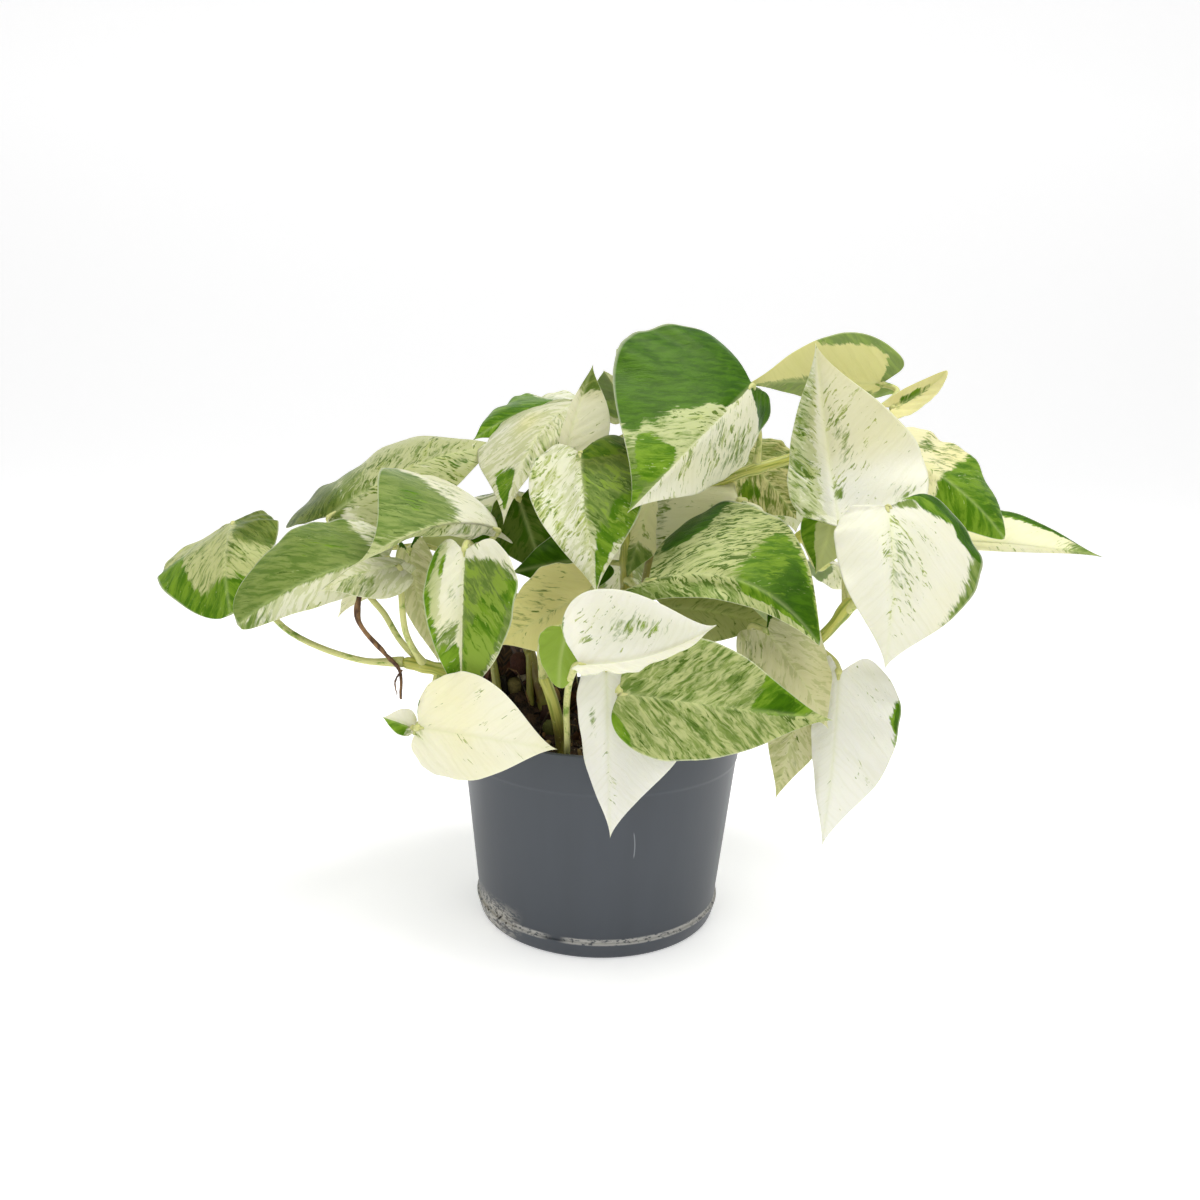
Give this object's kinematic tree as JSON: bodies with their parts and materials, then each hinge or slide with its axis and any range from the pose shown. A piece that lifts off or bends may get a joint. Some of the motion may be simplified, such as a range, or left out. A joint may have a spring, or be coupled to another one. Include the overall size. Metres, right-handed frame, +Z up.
{
  "type": "potted manjula pothos",
  "caption": "Leafy cream and green variegated vine plant with heart-shaped leaves on stalks, growing from soil in a round tapered grey pot.",
  "frame": {"origin": "centre of the pot's flat underside", "axes": "+Z up along the pot's axis, +X to the right and -Y towards the viewer of the plant's front"},
  "size_m": [0.3962, 0.2021, 0.2504],
  "materials": {
    "pot_plastic": "satin slate grey moulded plastic",
    "potting_soil": "rough dark potting mix of peat and bark",
    "vine_stem": "smooth yellow-green living stem",
    "root_bark": "dry brown root",
    "variegated_leaf": "glossy cream leaf marbled in greens"
  },
  "bodies": {
    "root": {"pot": "pot_plastic", "soil": "potting_soil", "left_stem": "vine_stem", "left_low_stem": "vine_stem", "back_left_stem": "vine_stem", "middle_stem": "vine_stem", "right_stem": "vine_stem", "right_low_stem": "vine_stem", "right_back_stem": "vine_stem", "front_stem": "vine_stem", "front_left_stem": "vine_stem", "aerial_root": "root_bark", "far_left_leaf": "variegated_leaf", "left_low_leaf": "variegated_leaf", "left_arch_leaf": "variegated_leaf", "left_back_leaf": "variegated_leaf", "back_left_leaf": "variegated_leaf", "upper_left_leaf": "variegated_leaf", "spire_leaf": "variegated_leaf", "centre_left_leaf": "variegated_leaf", "top_green_leaf": "variegated_leaf", "top_yellow_leaf": "variegated_leaf", "right_white_leaf": "variegated_leaf", "right_curl_leaf": "variegated_leaf", "right_front_leaf": "variegated_leaf", "right_lobe_leaf": "variegated_leaf", "right_back_leaf": "variegated_leaf", "far_right_leaf": "variegated_leaf", "middle_green_leaf": "variegated_leaf", "front_mottled_leaf": "variegated_leaf", "front_cup_leaf": "variegated_leaf", "front_lobe_leaf": "variegated_leaf", "front_white_leaf": "variegated_leaf", "front_yellow_leaf": "variegated_leaf", "left_trough_leaf": "variegated_leaf", "centre_yellow_leaf": "variegated_leaf", "left_beige_leaf": "variegated_leaf", "left_beige_small_leaf": "variegated_leaf", "left_under_leaf": "variegated_leaf", "back_beige_leaf": "variegated_leaf", "middle_beige_leaf": "variegated_leaf", "right_low_leaf": "variegated_leaf", "low_beige_leaf": "variegated_leaf", "low_beige_front_leaf": "variegated_leaf", "centre_olive_leaf": "variegated_leaf", "centre_dark_leaf": "variegated_leaf", "centre_patch_leaf": "variegated_leaf", "middle_under_leaf": "variegated_leaf", "left_inner_leaf": "variegated_leaf", "front_curl_leaf": "variegated_leaf", "behind_spire_leaf": "variegated_leaf", "crown_leaf": "variegated_leaf", "back_top_leaf": "variegated_leaf", "back_right_leaf": "variegated_leaf", "back_right_low_leaf": "variegated_leaf", "back_left_high_leaf": "variegated_leaf", "back_left_low_leaf": "variegated_leaf", "back_middle_leaf": "variegated_leaf", "left_side_leaf": "variegated_leaf", "right_side_leaf": "variegated_leaf"}
  },
  "joints": []
}
